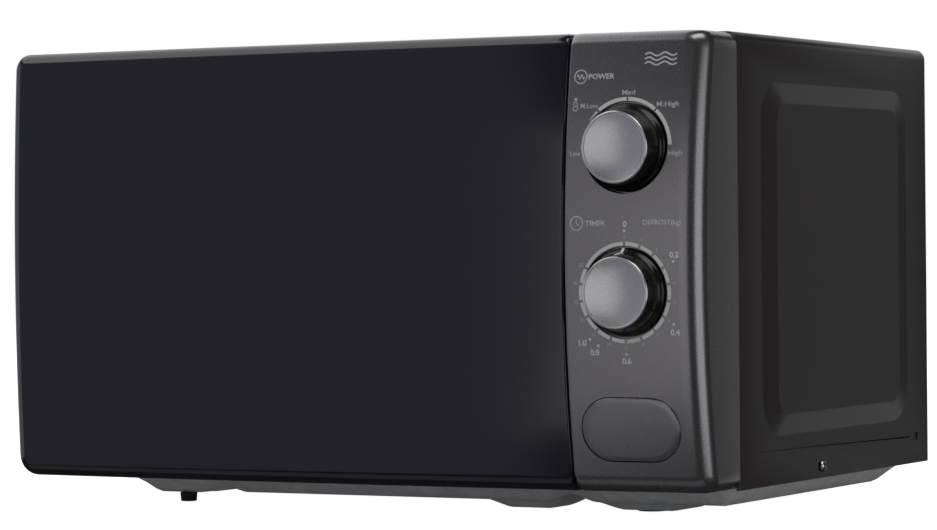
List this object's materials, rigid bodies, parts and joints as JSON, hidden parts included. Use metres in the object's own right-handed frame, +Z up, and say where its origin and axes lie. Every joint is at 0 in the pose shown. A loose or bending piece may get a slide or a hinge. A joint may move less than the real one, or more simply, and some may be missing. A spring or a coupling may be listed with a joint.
{
  "type": "microwave oven",
  "caption": "Countertop microwave oven with a bowed side-hinged door, rotary power and timer knobs, a push door release and a glass turntable.",
  "frame": {"origin": "on the table, under the centre of the bounding box", "axes": "+X to the right of a person facing the door, +Y from the door to the rear, +Z up"},
  "size_m": [0.4446, 0.339, 0.2582],
  "materials": {
    "painted_steel": "semi-gloss powder coat",
    "galvanised_steel": "galvanised sheet, satin",
    "zinc_steel": "zinc plated",
    "cavity_enamel": "smooth grey epoxy enamel",
    "gloss_black": "high gloss blue-black",
    "satin_grey": "satin dark grey lacquer",
    "knob_plastic": "satin dark grey",
    "dark_glass": "dark tinted, glossy",
    "clear_glass": "clear",
    "rubber": "matt",
    "inner_plastic": "natural white plastic",
    "dark_plastic": "fine matt",
    "copper": "enamelled copper wire",
    "laminations": "varnished steel laminations",
    "board_green": "printed circuit board",
    "mica": "pressed mica sheet",
    "spring_steel": "bright spring wire"
  },
  "bodies": {
    "root": {"outer_cabinet": "painted_steel", "front_frame": "painted_steel", "base_plate": "galvanised_steel", "rear_panel": "galvanised_steel", "waveguide": "galvanised_steel", "fan_shroud": "galvanised_steel", "side_screw_left": "zinc_steel", "side_screw_right": "zinc_steel", "magnetron_yoke": "zinc_steel", "magnetron_fins": "zinc_steel", "magnetron_filter_box": "zinc_steel", "hv_capacitor": "zinc_steel", "turntable_motor": "zinc_steel", "timer_unit": "zinc_steel", "hinge_upper": "zinc_steel", "hinge_lower": "zinc_steel", "cavity_floor": "cavity_enamel", "cavity_ceiling": "cavity_enamel", "cavity_left_wall": "cavity_enamel", "cavity_right_wall": "cavity_enamel", "cavity_back_wall": "cavity_enamel", "control_panel": "satin_grey", "oven_lamp_bulb": "clear_glass", "foot_front_left": "rubber", "foot_front_right": "rubber", "foot_rear_left": "rubber", "foot_rear_right": "rubber", "interlock_bracket": "inner_plastic", "oven_lamp_holder": "inner_plastic", "cord_gland": "dark_plastic", "primary_interlock_switch": "dark_plastic", "monitor_switch": "dark_plastic", "secondary_interlock_switch": "dark_plastic", "transformer_primary_coil": "copper", "transformer_secondary_coil": "copper", "transformer_core": "laminations", "fan_motor": "laminations", "noise_filter_board": "board_green", "mica_cover": "mica", "release_spring": "spring_steel"},
    "door": {"door_frame": "gloss_black", "door_window": "dark_glass", "door_inner_panel": "galvanised_steel", "choke_cover": "dark_plastic", "door_inner_window": "clear_glass", "latch_spring": "spring_steel"},
    "door_latch": {"door_latch": "inner_plastic"},
    "power_control": {"power_knob": "knob_plastic", "power_shaft": "zinc_steel"},
    "timer_control": {"timer_knob": "knob_plastic", "timer_shaft": "zinc_steel"},
    "release_button": {"release_button": "satin_grey"},
    "release_lever": {"release_lever": "inner_plastic"},
    "turntable": {"turntable_coupler": "inner_plastic", "glass_tray": "clear_glass"},
    "roller_ring": {"roller_ring": "dark_plastic"},
    "roller_1": {"roller_1": "inner_plastic"},
    "roller_2": {"roller_2": "inner_plastic"},
    "roller_3": {"roller_3": "inner_plastic"},
    "fan": {"fan_blade": "dark_plastic"}
  },
  "joints": [
    {"name": "door_hinge", "type": "hinge", "parent": "root", "child": "door", "pos_m": [-0.2145, -0.1138, 0.137], "axis": [0, 0, -1], "range_deg": [0, 100]},
    {"name": "button_press", "type": "slide", "parent": "root", "child": "release_button", "axis": [0, 1, 0], "range_m": [0, 0.006], "stiffness_N_per_m": 300, "springref_m": -0.005, "deforming": ["release_spring"]},
    {"name": "latch_lift", "type": "slide", "parent": "door", "child": "door_latch", "axis": [0, 0, 1], "range_m": [0, 0.0048], "deforming": ["latch_spring"]},
    {"name": "lever_tilt", "type": "hinge", "parent": "root", "child": "release_lever", "pos_m": [0.15, -0.1005, 0.072], "axis": [1, 0, 0], "range_deg": [0, 17.6]},
    {"name": "power_turn", "type": "hinge", "parent": "root", "child": "power_control", "pos_m": [0.1775, -0.1515, 0.1971], "axis": [0, 1, 0], "range_deg": [0, 180]},
    {"name": "timer_turn", "type": "hinge", "parent": "root", "child": "timer_control", "pos_m": [0.1778, -0.1535, 0.1215], "axis": [0, 1, 0], "range_deg": [0, 300]},
    {"name": "turntable_spin", "type": "hinge", "parent": "root", "child": "turntable", "pos_m": [-0.04, 0.0231, 0.0385], "axis": [0, 0, 1], "continuous": true},
    {"name": "roller_ring_spin", "type": "hinge", "parent": "root", "child": "roller_ring", "pos_m": [-0.04, 0.0231, 0.0385], "axis": [0, 0, 1], "continuous": true},
    {"name": "fan_spin", "type": "hinge", "parent": "root", "child": "fan", "pos_m": [0.168, 0.1255, 0.15], "axis": [0, 1, 0], "continuous": true},
    {"name": "roller_1_spin", "type": "hinge", "parent": "roller_ring", "child": "roller_1", "pos_m": [-0.04, 0.1146, 0.04535], "axis": [0, 1, 0], "continuous": true},
    {"name": "roller_2_spin", "type": "hinge", "parent": "roller_ring", "child": "roller_2", "pos_m": [-0.11924, -0.02265, 0.04535], "axis": [-0.866, -0.5, 0], "continuous": true},
    {"name": "roller_3_spin", "type": "hinge", "parent": "roller_ring", "child": "roller_3", "pos_m": [0.03924, -0.02265, 0.04535], "axis": [0.866, -0.5, 0], "continuous": true}
  ],
  "couplings": [
    {"joint": "latch_lift", "follows": "button_press", "ratio": 0.8},
    {"joint": "lever_tilt", "follows": "button_press", "rad_per_m": 50.9},
    {"joint": "roller_ring_spin", "follows": "turntable_spin", "ratio": 0.5},
    {"joint": "roller_1_spin", "follows": "turntable_spin", "ratio": -6.5357},
    {"joint": "roller_2_spin", "follows": "turntable_spin", "ratio": -6.5357},
    {"joint": "roller_3_spin", "follows": "turntable_spin", "ratio": -6.5357}
  ]
}
